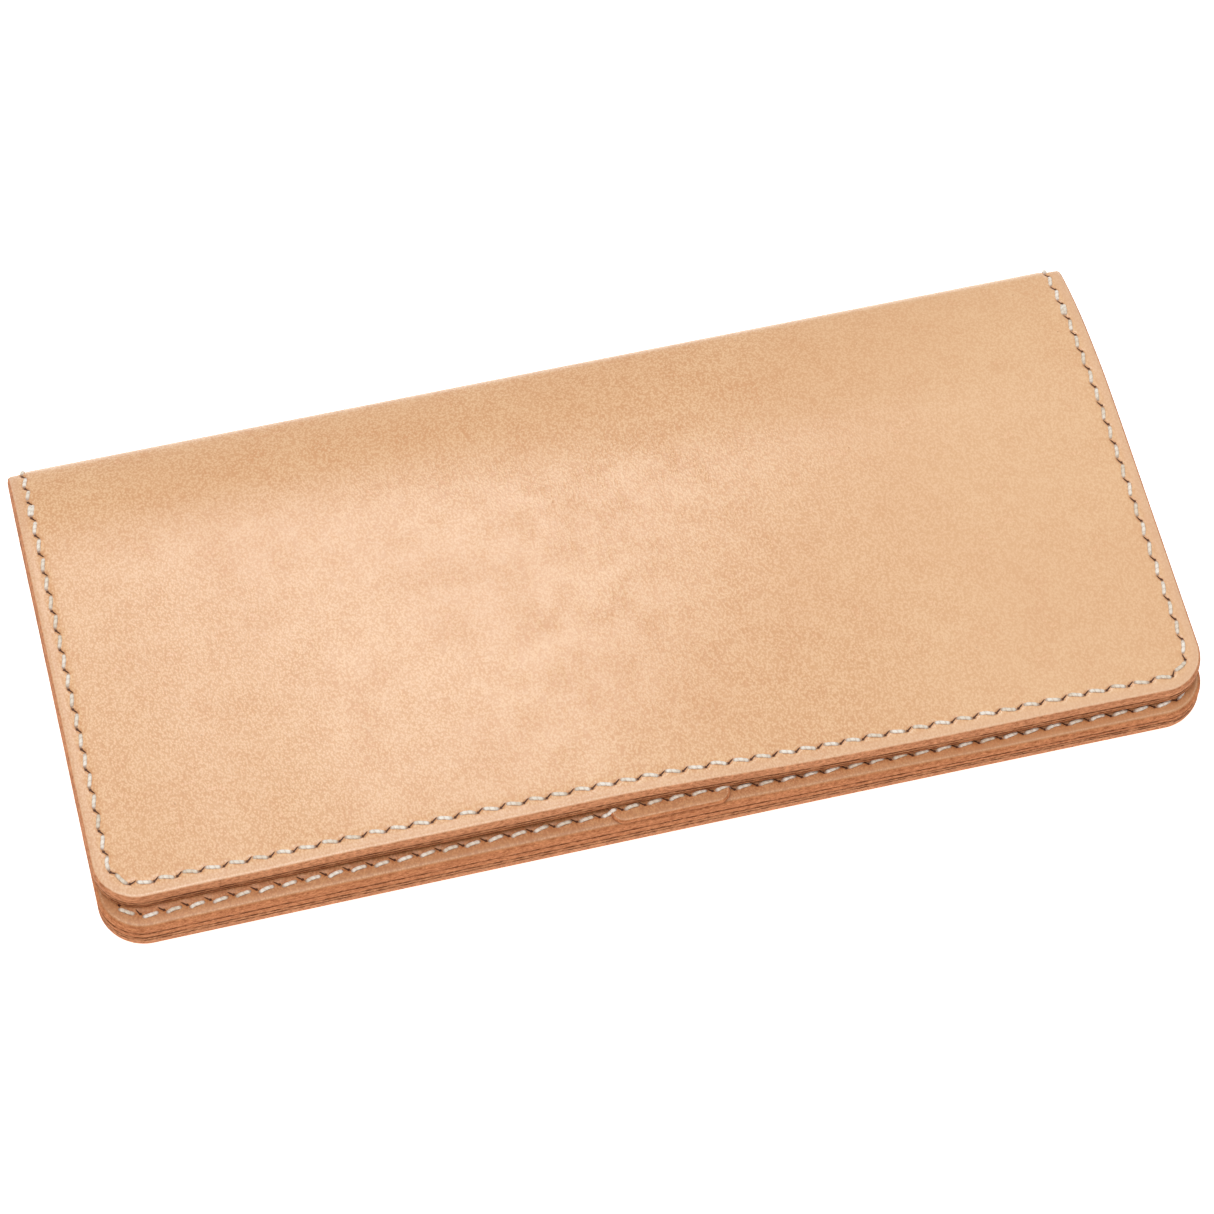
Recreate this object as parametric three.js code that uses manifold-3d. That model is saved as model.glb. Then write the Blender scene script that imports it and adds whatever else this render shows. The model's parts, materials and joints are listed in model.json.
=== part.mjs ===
// Long bifold card holder in natural leather, closed, lying on its back half.
// Millimetres. +X runs along the fold, -Y is the open front edge, +Y the fold, +Z up.
// The origin is below the centre of the closed holder, on the surface that it lies on.
import * as THREE from "three";
import { mergeVertices } from "three/addons/utils/BufferGeometryUtils.js";
import Module from "manifold-3d";

const wasm = await Module();
wasm.setup();

// ---- Overall sizes ----
const LENGTH = 195; // along the fold
const DEPTH = 94; // from the front edge of the back half to the outside of the fold
const CORNER_RADIUS = 8; // front corners of both halves
const FRONT_SETBACK = 2.8; // how far the front half stops short of the back half

// ---- Leather thicknesses ----
const COVER = 2.2;
const LINING = 0.5;
const NOTE_PANEL = 0.6;
const SLOT_LEATHER = 0.4;
const CARD_PANEL = 1.0;
const STRIP_LEATHER = 1.0;
const GAP = 0.3; // between two layers, and between any two neighbours

// ---- Fold ----
const FOLD_RADIUS = 4.2; // outside of the fold, through its hinge lines
const FLARE = THREE.MathUtils.degToRad(9); // each cover's rise towards the fold
const FOLD_STRIPS = 2; // the fold's leather, as rigid strips between hinge lines

// ---- Pockets, counted back from where the covers start to rise ----
const LINING_BACK = 1; // lining edge
const NOTE_BACK = 2.5; // mouth of the note pockets
const FIRST_SLOT_BACK = 6; // mouth of the rearmost card slot
const SLOT_STEP = 9; // from one card slot's mouth to the next
const SLOT_FOOT = 8; // lower end of the hidden slot leathers, from the front edge
const EAR_HEIGHT = 8; // full-width top of a slot leather, which the side seam holds
const EAR_INSET = 6; // how much narrower a slot leather is below its ear

// ---- Centre strip ----
const STRIP_WIDTH = 21;
const STRIP_OFFSET = 0.8; // to the right of the middle
const STRIP_CORNER = 2.5;

// ---- Seams ----
const THREAD = 0.5; // thickness and width of the flat waxed thread
const SEAM_MARGIN = 3; // seam line from the edge of its half
const SEAM_BACK = 4; // end of a seam, from where the covers start to rise

// ---- Heights of the layers, from the bottom up ----
const coverTop = COVER;
const liningBottom = coverTop + GAP;
const liningTop = liningBottom + LINING;
const noteBottom = liningTop + GAP;
const noteTop = noteBottom + NOTE_PANEL;
const slotBottom = (level) => noteTop + GAP + level * (SLOT_LEATHER + GAP);
const cardBottom = slotBottom(2);
const cardTop = cardBottom + CARD_PANEL;
const stripBottom = cardTop + GAP;
const stripTop = stripBottom + STRIP_LEATHER;
const frontPanelBottom = stripTop + GAP;
const frontPanelTop = frontPanelBottom + CARD_PANEL;
const frontLiningBottom = frontPanelTop + GAP;
const frontLiningTop = frontLiningBottom + LINING;
const frontCoverBottom = frontLiningTop + GAP;
const totalHeight = frontCoverBottom + COVER;

// ---- Fold geometry: hinge lines on a circle, seen along the fold ----
const foldY = DEPTH / 2 - FOLD_RADIUS;
const foldZ = totalHeight / 2;
const foldTurn = (Math.PI - 2 * FLARE) / (FOLD_STRIPS + 1); // turn at each hinge line

// Hinge line 0 joins the back half, and the last one joins the front half.
function hingePoint(index) {
  const angle = FLARE + foldTurn * (index + 0.5);
  return new THREE.Vector2(
    foldY + FOLD_RADIUS * Math.sin(angle),
    foldZ - FOLD_RADIUS * Math.cos(angle),
  );
}

const firstHinge = hingePoint(0);
const riseY = firstHinge.x - firstHinge.y / Math.tan(FLARE); // where the covers start to rise
const backFront = -DEPTH / 2; // front edge of the back half
const frontFront = backFront + FRONT_SETBACK; // front edge of the front half
const halfLength = LENGTH / 2;
const seamEnd = riseY - SEAM_BACK;
const noteMouth = riseY - NOTE_BACK;
const slotMouth = (row) => riseY - FIRST_SLOT_BACK - row * SLOT_STEP;
const cardMouth = slotMouth(2);

// ---- Colours ----
function leather(name, color, roughness) {
  return new THREE.MeshStandardMaterial({ name, color, roughness, metalness: 0 });
}
const coverLeather = leather("cover_leather", 0xe8bc93, 0.5);
const pocketLeather = leather("pocket_leather", 0xe3b488, 0.6);
const liningLeather = leather("lining_leather", 0xd9a878, 0.75);
const threadMaterial = leather("waxed_thread", 0xe6dccb, 0.7);

// ---- Solids ----
function solid(geometry) {
  const bare = geometry.index ? geometry.toNonIndexed() : geometry;
  bare.deleteAttribute("normal");
  bare.deleteAttribute("uv");
  const merged = mergeVertices(bare, 1e-4);
  return new wasm.Manifold(
    new wasm.Mesh({
      numProp: 3,
      vertProperties: merged.attributes.position.array,
      triVerts: new Uint32Array(merged.index.array),
    }),
  );
}

function namedMesh(name, shape, material) {
  const cut = shape.getMesh();
  const geometry = new THREE.BufferGeometry();
  geometry.setAttribute("position", new THREE.BufferAttribute(cut.vertProperties, 3));
  geometry.setIndex(new THREE.BufferAttribute(cut.triVerts, 1));
  geometry.computeVertexNormals();
  const mesh = new THREE.Mesh(geometry, material.clone());
  mesh.name = name;
  return mesh;
}

// A plan outline in X and Y, raised from one height to another.
function plate(outline, bottom, top) {
  const settings = { depth: top - bottom, bevelEnabled: false, curveSegments: 10 };
  const geometry = new THREE.ExtrudeGeometry(outline, settings);
  geometry.translate(0, 0, bottom);
  return solid(geometry);
}

// A side outline in Y and Z, drawn out along the whole length.
function profile(points) {
  const settings = { depth: LENGTH, bevelEnabled: false };
  const geometry = new THREE.ExtrudeGeometry(new THREE.Shape(points), settings);
  const turn = new THREE.Matrix4().makeBasis(
    new THREE.Vector3(0, 1, 0),
    new THREE.Vector3(0, 0, 1),
    new THREE.Vector3(1, 0, 0),
  );
  geometry.applyMatrix4(turn);
  geometry.translate(-halfLength, 0, 0);
  return solid(geometry);
}

function block(x0, x1, y0, y1, z0, z1) {
  const geometry = new THREE.BoxGeometry(x1 - x0, y1 - y0, z1 - z0);
  geometry.translate((x0 + x1) / 2, (y0 + y1) / 2, (z0 + z1) / 2);
  return solid(geometry);
}

// ---- Plan outlines ----
// A half seen from above: square at the fold and rounded at its two front corners.
function halfOutline(left, right, front, rear, radius) {
  const outline = new THREE.Shape();
  outline.moveTo(left, rear);
  outline.lineTo(left, front + radius);
  outline.absarc(left + radius, front + radius, radius, Math.PI, 1.5 * Math.PI);
  outline.absarc(right - radius, front + radius, radius, 1.5 * Math.PI, 2 * Math.PI);
  outline.lineTo(right, rear);
  return outline;
}

// The U of a seam: down one side, round the front corners and up the other side.
function seamOutline(front, width, rear) {
  const outer = SEAM_MARGIN - width / 2;
  const inner = SEAM_MARGIN + width / 2;
  const outerRadius = CORNER_RADIUS - outer;
  const innerRadius = CORNER_RADIUS - inner;
  const outline = halfOutline(
    outer - halfLength, halfLength - outer, front + outer, rear, outerRadius,
  );
  const side = halfLength - inner - innerRadius;
  const turnY = front + inner + innerRadius;
  outline.lineTo(halfLength - inner, rear);
  outline.lineTo(halfLength - inner, turnY);
  outline.absarc(side, turnY, innerRadius, 2 * Math.PI, 1.5 * Math.PI, true);
  outline.absarc(-side, turnY, innerRadius, 1.5 * Math.PI, Math.PI, true);
  outline.lineTo(inner - halfLength, rear);
  return outline;
}

// ---- Seams: a loop of thread along both faces of a stack, joined through it at its ends ----
function seamLoop(front, bottom, top, clearance) {
  const width = THREAD + 2 * clearance;
  const depth = THREAD + clearance;
  const rear = seamEnd + clearance;
  const overshoot = clearance > 0 ? 1 : 0; // a cutting tool runs out of the surface
  const band = seamOutline(front, width, rear);
  const upper = plate(band, top - depth, top + overshoot);
  const lower = plate(band, bottom - overshoot, bottom + depth);
  const postX = halfLength - SEAM_MARGIN;
  const postY = seamEnd - THREAD / 2;
  let loop = upper.add(lower);
  for (const side of [-1, 1]) {
    const x = side * postX;
    loop = loop.add(
      block(x - width / 2, x + width / 2, postY - width / 2, postY + width / 2, bottom, top),
    );
  }
  return loop;
}

const backThread = seamLoop(backFront, 0, cardTop, 0);
const backSeamCut = seamLoop(backFront, 0, cardTop, GAP);
const frontThread = seamLoop(frontFront, frontPanelBottom, totalHeight, 0);
const frontSeamCut = seamLoop(frontFront, frontPanelBottom, totalHeight, GAP);

// ---- Covers: flat, then rising to the first hinge line of the fold ----
function coverSide(front) {
  const seam = GAP / 2 / Math.cos(foldTurn / 2); // half a gap, measured along the leather
  const miter = COVER * Math.tan(foldTurn / 2);
  const along = new THREE.Vector2(Math.cos(FLARE), Math.sin(FLARE));
  const inward = new THREE.Vector2(-Math.sin(FLARE), Math.cos(FLARE));
  const outerEnd = firstHinge.clone().addScaledVector(along, -seam);
  const innerEnd = outerEnd.clone().addScaledVector(along, -miter).addScaledVector(inward, COVER);
  return [
    new THREE.Vector2(front, 0),
    new THREE.Vector2(riseY, 0),
    outerEnd,
    innerEnd,
    new THREE.Vector2(riseY - COVER * Math.tan(FLARE / 2), COVER),
    new THREE.Vector2(front, COVER),
  ];
}

function cover(front) {
  const outline = halfOutline(-halfLength, halfLength, front, DEPTH / 2, CORNER_RADIUS);
  return profile(coverSide(front)).intersect(plate(outline, -1, totalHeight + 1));
}

// The front cover is the back one turned over about the middle height of the closed holder.
function turnedOver(shape) {
  return shape.mirror([0, 0, 1]).translate([0, 0, totalHeight]);
}

const backCover = cover(backFront).subtract(backSeamCut);
const frontCover = turnedOver(cover(frontFront)).subtract(frontSeamCut);

// ---- Fold strips: one between each two hinge lines ----
function foldStrip(index) {
  const start = hingePoint(index);
  const end = hingePoint(index + 1);
  const along = end.clone().sub(start).normalize();
  const inward = new THREE.Vector2(-along.y, along.x);
  const seam = GAP / 2 / Math.cos(foldTurn / 2);
  const miter = COVER * Math.tan(foldTurn / 2);
  return profile([
    start.clone().addScaledVector(along, seam),
    end.clone().addScaledVector(along, -seam),
    end.clone().addScaledVector(along, -seam - miter).addScaledVector(inward, COVER),
    start.clone().addScaledVector(along, seam + miter).addScaledVector(inward, COVER),
  ]);
}

// ---- Inner panels of the back half ----
function backPanel(bottom, top, rear) {
  const outline = halfOutline(-halfLength, halfLength, backFront, rear, CORNER_RADIUS);
  return plate(outline, bottom, top).subtract(backSeamCut);
}

const backLining = backPanel(liningBottom, liningTop, riseY - LINING_BACK);
const notePanel = backPanel(noteBottom, noteTop, noteMouth);
const cardPanel = backPanel(cardBottom, cardTop, cardMouth);

// The card panel is two pieces that meet under the centre strip.
function cardPanelSide(side) {
  const cut = STRIP_OFFSET + (side * GAP) / 2;
  const outer = side * halfLength;
  const keep = block(
    Math.min(cut, outer), Math.max(cut, outer), backFront, cardMouth, cardBottom, cardTop,
  );
  return cardPanel.intersect(keep);
}

// A slot leather: a T with ears at its mouth, narrower below, in one column.
function slotLeather(side, row, level) {
  const outer = side * halfLength;
  const middle = STRIP_OFFSET + (side * GAP) / 2;
  const mouth = slotMouth(row);
  const ear = mouth - EAR_HEIGHT;
  const foot = backFront + SLOT_FOOT;
  const inset = side * EAR_INSET;
  const outline = new THREE.Shape([
    new THREE.Vector2(outer, mouth),
    new THREE.Vector2(middle, mouth),
    new THREE.Vector2(middle, ear),
    new THREE.Vector2(middle + inset / 2, ear),
    new THREE.Vector2(middle + inset / 2, foot),
    new THREE.Vector2(outer - inset, foot),
    new THREE.Vector2(outer - inset, ear),
    new THREE.Vector2(outer, ear),
  ]);
  const bottom = slotBottom(level);
  return plate(outline, bottom, bottom + SLOT_LEATHER).subtract(backSeamCut);
}

// ---- Centre strip, over the joint of the two columns ----
function centreStrip() {
  const left = STRIP_OFFSET - STRIP_WIDTH / 2;
  const right = STRIP_OFFSET + STRIP_WIDTH / 2;
  const outline = halfOutline(left, right, backFront, slotMouth(0), STRIP_CORNER);
  return plate(outline, stripBottom, stripTop);
}

// ---- Inner panels of the front half ----
function frontInnerPanel(bottom, top, rear) {
  const outline = halfOutline(-halfLength, halfLength, frontFront, rear, CORNER_RADIUS);
  return plate(outline, bottom, top).subtract(frontSeamCut);
}

const frontPanel = frontInnerPanel(frontPanelBottom, frontPanelTop, noteMouth);
const frontLining = frontInnerPanel(frontLiningBottom, frontLiningTop, riseY - LINING_BACK);

// ---- Assembly ----
const backHalf = new THREE.Group();
backHalf.add(
  namedMesh("back_cover", backCover, coverLeather),
  namedMesh("back_lining", backLining, liningLeather),
  namedMesh("note_panel", notePanel, pocketLeather),
);
for (const [sideName, side] of [["left", -1], ["right", 1]]) {
  backHalf.add(
    namedMesh(`rear_slot_${sideName}`, slotLeather(side, 0, 0), pocketLeather),
    namedMesh(`middle_slot_${sideName}`, slotLeather(side, 1, 1), pocketLeather),
    namedMesh(`card_panel_${sideName}`, cardPanelSide(side), pocketLeather),
  );
}
backHalf.add(
  namedMesh("centre_strip", centreStrip(), pocketLeather),
  namedMesh("back_seam_thread", backThread, threadMaterial),
);

const fold = new THREE.Group();
for (let index = 0; index < FOLD_STRIPS; index += 1) {
  fold.add(namedMesh(`fold_strip_${index + 1}`, foldStrip(index), coverLeather));
}

const frontHalf = new THREE.Group();
frontHalf.add(
  namedMesh("front_cover", frontCover, coverLeather),
  namedMesh("front_lining", frontLining, liningLeather),
  namedMesh("front_note_panel", frontPanel, pocketLeather),
  namedMesh("front_seam_thread", frontThread, threadMaterial),
);

const group = new THREE.Group();
group.add(backHalf, fold, frontHalf);

export default group;
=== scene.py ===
"""Looks of a long bifold leather card holder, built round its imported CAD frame.

Lengths are in millimetres until a mesh is made. Every layer is laid out flat first: x runs along the
fold, s runs from the front edge of its half towards the fold, and t is the height above the outer face
of the cover. One rule, fold, then bends all the layers round the same section. The front half is laid
out in the same way from its own front edge.
"""

import json
import math

import bpy
import numpy as np
from mathutils import Matrix, Vector

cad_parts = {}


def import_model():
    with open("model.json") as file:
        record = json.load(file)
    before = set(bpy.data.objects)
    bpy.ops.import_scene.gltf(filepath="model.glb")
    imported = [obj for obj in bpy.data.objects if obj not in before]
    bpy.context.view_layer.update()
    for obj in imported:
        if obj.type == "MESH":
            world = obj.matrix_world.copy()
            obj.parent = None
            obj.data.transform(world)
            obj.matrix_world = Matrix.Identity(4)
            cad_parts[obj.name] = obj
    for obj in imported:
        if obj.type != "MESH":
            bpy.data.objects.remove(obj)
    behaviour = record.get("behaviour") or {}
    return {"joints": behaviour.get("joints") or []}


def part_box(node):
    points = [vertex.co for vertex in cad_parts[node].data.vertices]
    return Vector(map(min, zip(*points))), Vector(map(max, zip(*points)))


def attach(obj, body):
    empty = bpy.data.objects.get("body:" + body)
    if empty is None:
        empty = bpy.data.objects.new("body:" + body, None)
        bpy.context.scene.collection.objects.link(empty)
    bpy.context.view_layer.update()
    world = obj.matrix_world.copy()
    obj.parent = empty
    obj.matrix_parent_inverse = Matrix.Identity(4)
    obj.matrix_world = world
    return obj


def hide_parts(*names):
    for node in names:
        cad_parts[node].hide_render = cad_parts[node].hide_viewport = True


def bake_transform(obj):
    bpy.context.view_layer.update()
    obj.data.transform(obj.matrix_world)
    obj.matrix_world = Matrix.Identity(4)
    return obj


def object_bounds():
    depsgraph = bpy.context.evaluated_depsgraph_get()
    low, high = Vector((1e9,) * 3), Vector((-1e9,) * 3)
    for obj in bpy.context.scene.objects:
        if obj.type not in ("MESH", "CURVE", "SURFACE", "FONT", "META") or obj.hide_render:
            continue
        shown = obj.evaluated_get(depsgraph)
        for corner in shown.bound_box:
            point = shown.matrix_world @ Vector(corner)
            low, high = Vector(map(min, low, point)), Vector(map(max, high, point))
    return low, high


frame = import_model()
cad_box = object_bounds()

MM = 0.001
HALF = cad_box[1].x / MM  # half the length along the fold
FRONT = cad_box[0].y / MM  # front edge of the back half
REAR = cad_box[1].y / MM  # outside of the fold

# ---- Outline ----
SETBACK = 2.8  # how far the front half stops short of the back half
CORNER = 8.0
# How much further back the front half's front edge lies, by x
SHIFTS = [(-97.5, 1.0), (-12.0, 0.15), (27.0, -0.4), (70.0, -0.5), (97.5, -0.7)]
# How much higher the front half lies along its front edge, and how much thicker the back half is, by x
LIFTS = [(-97.5, -0.2), (-75.0, 0.4), (-50.0, 1.2), (-12.0, 1.3), (52.0, -0.95), (97.5, -0.9)]
SWELLS = [(-97.5, 1.7), (-60.0, 2.1), (5.0, 2.2), (28.0, 1.4), (62.0, 0.5), (97.5, 0.4)]
BOW = 0.12  # front edges curve in towards their middle

# ---- Leather thicknesses ----
COVER = 2.3
LINING = 0.6
NOTE = 0.9
SLOT = 0.35
CARD_EDGE = 1.5  # card panel at its stitched edge
CARD_INNER = 0.75  # card panel over the card slots
STRIP = 1.0
STRIP_BEHIND = 0.5  # the centre strip is pressed thinner behind its front end
FRONT_LINING = 0.85
FRONT_NOTE = 0.95

# ---- Rear edges of the layers, counted from their front edge ----
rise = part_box("back_lining")[1].y / MM - FRONT + 1.0  # where the cover starts to rise
LINING_REAR = rise - 1.0
NOTE_REAR = rise - 2.5
MOUTHS = [rise - 6.0, rise - 15.0, rise - 24.0]  # rear slots, middle slots, card panels
SLOT_FOOT = 10.0  # the layers above start to rise over the slot leathers here
SLOT_START = SLOT_FOOT + 4
EAR_HEIGHT = 8.0  # a slot leather reaches the side seam only this far below its mouth
EAR_INSET = 6.0
STRIP_X = 0.8  # middle of the centre strip
STRIP_HALF = 10.5
STRIP_CORNER = 2.5
JOINT_HALF = 0.02  # half the gap between the left and the right panels
MOUTH_TURN = 1.2  # the rows are closer over this length before a rear edge

# ---- Seams ----
PITCH = 4.0
MARGIN = 2.8  # seam line from the edge
LEDGE_MARGINS = (2.9, 2.3)  # the same along the front of the back half, left and right
SLIT_TURN = math.radians(36)  # the slits lie at this angle to the seam
REACH = 0.32  # how far along and across the seam a stitch ends from the middle of its slit
DOUBLED = 4  # which stitch from the fold is sewn twice


# ---- Small helpers ----
def smooth(value, low, high):
    share = np.clip((value - low) / (high - low), 0.0, 1.0)
    return share * share * (3.0 - 2.0 * share)


def between(first, last, spacing):
    count = max(1, int(round((last - first) / spacing)))
    return np.linspace(first, last, count + 1)


def finer(values, ratio):
    parts = [np.linspace(a, b, ratio, endpoint=False) for a, b in zip(values[:-1], values[1:])]
    return np.append(np.concatenate(parts), values[-1])


def along_x(x, knots):
    """Eases from one knot's value to the next."""
    places = np.array([k[0] for k in knots])
    values = np.array([k[1] for k in knots])
    after = np.clip(np.searchsorted(places, x), 1, len(places) - 1)
    share = smooth(x, places[after - 1], places[after])
    return values[after - 1] + (values[after] - values[after - 1]) * share


def ripple(along, size, seed):
    """A smooth wander of about the given size, from a few sines."""
    random = np.random.default_rng(seed)
    total = np.zeros_like(along)
    for length in (61.0, 27.0, 13.0, 7.5, 4.1):
        phase = random.uniform(0, 2 * math.pi)
        total += math.sqrt(length / 61.0) * np.sin(2 * math.pi * along / length + phase)
    return total * size / 2.0


# ---- The folded section ----
STEP = 0.02
DEEP = REAR - FRONT
FLAT_END = DEEP - 16.0  # where the back cover starts to rise
ROLL = DEEP - 2.0  # where the fold's tight lower bend starts
EXTREME = DEEP + 1.8  # the rearmost line of the fold
LENGTHS = [0.0, FLAT_END, ROLL, EXTREME]
SLOPES = [0.0, 0.0, 8.0, 90.0]
# The upper side of the fold, by its slope in degrees at lengths beyond the rearmost line
UPPER_LEFT = [
    (2.3, 120), (5.0, 150), (9.4, 156), (13.7, 163), (17.8, 171.5), (21.8, 176), (30, 180.2), (38, 181.2),
]
UPPER_RIGHT = [
    (2.6, 124), (5.7, 157), (10.2, 161), (14.7, 164.5), (19.2, 170.5), (26, 173), (32, 179), (40, 181.2),
]
CREST = 12.35
SPAN = 200.0


def section(upper):
    lengths = LENGTHS + [EXTREME + length for length, _ in upper]
    slopes = SLOPES + [slope for _, slope in upper]
    s = np.arange(0.0, SPAN, STEP)
    slope = np.interp(s, lengths, slopes)
    window = np.hanning(int(2.6 / STEP))
    padded = np.pad(slope, len(window), mode="edge")
    slope = np.convolve(padded, window / window.sum(), mode="same")[len(window):-len(window)]
    # the slopes beyond the steep bend are scaled so that the crest has the right height
    for _ in range(6):
        z = np.cumsum(np.sin(np.radians(slope))) * STEP
        start = int(EXTREME / STEP)
        error = CREST - z.max()
        gain = 1.0 + error / (z.max() - z[start])
        above = slope > 140.0
        slope = np.where(above & (slope < 180.0), 180.0 - (180.0 - slope) * gain, slope)
    angle = np.radians(slope)
    y = FRONT + np.cumsum(np.cos(angle)) * STEP
    z = np.cumsum(np.sin(angle)) * STEP
    shift = REAR - y.max()
    y += shift * smooth(s, 40.0, FLAT_END)
    return s, angle, y, z


LEFT = section(UPPER_LEFT)
RIGHT = section(UPPER_RIGHT)
middle_y = 0.5 * (LEFT[2] + RIGHT[2])
TOTAL = float(LEFT[0][np.argmin(np.abs(middle_y - (FRONT + SETBACK)) + 1e3 * (LEFT[0] < 120))])
END_Y = [float(np.interp(TOTAL, side[0], side[2])) for side in (LEFT, RIGHT)]


def fold(x, s, t):
    """Flat place to folded place: s runs on from the back half round the fold to the front half."""
    x, s, t = (np.asarray(value, float) for value in (x, s, t))
    share = smooth(x, -HALF, HALF)
    angle = (1 - share) * np.interp(s, LEFT[0], LEFT[1]) + share * np.interp(s, RIGHT[0], RIGHT[1])
    y = (1 - share) * np.interp(s, LEFT[0], LEFT[2]) + share * np.interp(s, RIGHT[0], RIGHT[2])
    z = (1 - share) * np.interp(s, LEFT[0], LEFT[3]) + share * np.interp(s, RIGHT[0], RIGHT[3])
    upper = smooth(s, EXTREME + 12.0, TOTAL)
    end = (1 - share) * END_Y[0] + share * END_Y[1]
    y = y + upper * (FRONT + SETBACK - end + along_x(x, SHIFTS))
    bow = BOW * (1.0 - 2.0 * (x / HALF) ** 2)
    y = y + bow * (smooth(-s, -60.0, 0.0) + smooth(s, TOTAL - 60.0, TOTAL))
    sag = 0.16 * np.sin(x / 31.0 + 0.6) + 0.1 * np.sin(x / 17.0 + s / 23.0)
    z = z + sag * smooth(s, EXTREME + 6.0, EXTREME + 40.0)
    z = z + along_x(x, LIFTS) * smooth(s, EXTREME + 26.0, TOTAL + 4.0)
    return np.stack((x, y - t * np.sin(angle), z + t * np.cos(angle)), axis=-1)


# ---- Places in the outline of a half ----
def seam_margin(x, s, back):
    """The seam's distance from the edge. It is less along the front of the back half."""
    if not back:
        return np.full_like(x, MARGIN)
    side = smooth(s - 0.35 * (HALF - np.abs(x)), 2.0, 14.0)
    ledge = LEDGE_MARGINS[0] + (LEDGE_MARGINS[1] - LEDGE_MARGINS[0]) * smooth(x, -HALF, HALF)
    return ledge + (MARGIN - ledge) * side


def place(x, s):
    """Each point's distance from the edge, and its distance along the edge from the front's middle."""
    side = np.sign(x)
    ax = np.abs(x)
    cx, cs = ax - (HALF - CORNER), CORNER - s
    corner = (cx > 0) & (cs > 0)
    inset = np.where(corner, CORNER - np.hypot(cx, cs), np.minimum(HALF - ax, s))
    turn = np.arctan2(np.maximum(cx, 0.0), np.maximum(cs, 1e-9))
    quarter = (CORNER - MARGIN) * math.pi / 2
    along_side = HALF - CORNER + quarter + (s - CORNER)
    along = np.where(corner, HALF - CORNER + (CORNER - MARGIN) * turn, ax)
    along = np.where(~corner & (HALF - ax < s) & (cs <= 0), along_side, along)
    return inset, side * along


FOLD_MIDDLE = 0.5 * (ROLL + EXTREME + 6.0)  # where the seams of the two halves meet


def seam_length(back):
    """Seam from the middle of the front to the middle of the fold."""
    side = FOLD_MIDDLE if back else TOTAL - FOLD_MIDDLE
    return HALF - CORNER + (CORNER - MARGIN) * math.pi / 2 + side - CORNER


HOLES = {back: int(round(seam_length(back) / PITCH)) for back in (True, False)}
PITCHES = {back: seam_length(back) / HOLES[back] for back in (True, False)}


def on_seam(along, inset, back):
    """The inverse of place, for a point at a distance along a half's seam and off its line."""
    side = np.where(along < 0, -1.0, 1.0)
    a = np.abs(along)
    start = HALF - CORNER
    quarter = (CORNER - MARGIN) * math.pi / 2
    turn = np.clip((a - start) / (CORNER - MARGIN), 0.0, math.pi / 2)
    s_side = CORNER + a - start - quarter
    guess_x = np.where(a < start, a, np.where(a > start + quarter, HALF, start + CORNER * np.sin(turn)))
    guess_s = np.where(a < start, 0.0, np.where(a > start + quarter, s_side, CORNER - CORNER * np.cos(turn)))
    depth = seam_margin(guess_x, guess_s, back) + inset
    x = np.where(a < start, a, start + (CORNER - depth) * np.sin(turn))
    s = np.where(a < start, depth, CORNER - (CORNER - depth) * np.cos(turn))
    x = np.where(a > start + quarter, HALF - depth, x)
    s = np.where(a > start + quarter, s_side, s)
    return side * x, s


# ---- Flat patterns ----
# Distances from the edge of the rings in the rim: fine ones, and one with the grid's spacing
RIM = [
    0.0, 0.04, 0.12, 0.24, 0.4, 0.6, 0.85, 1.15, 1.45, 1.75, 2.0, 2.25, 2.5, 2.75, 3.0, 3.25, 3.6, 4.0, 4.6,
    5.4,
]
RIM_COARSE = [6.5]
RATIO = 3  # fine ribs in the rim for each row or column inside


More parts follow.
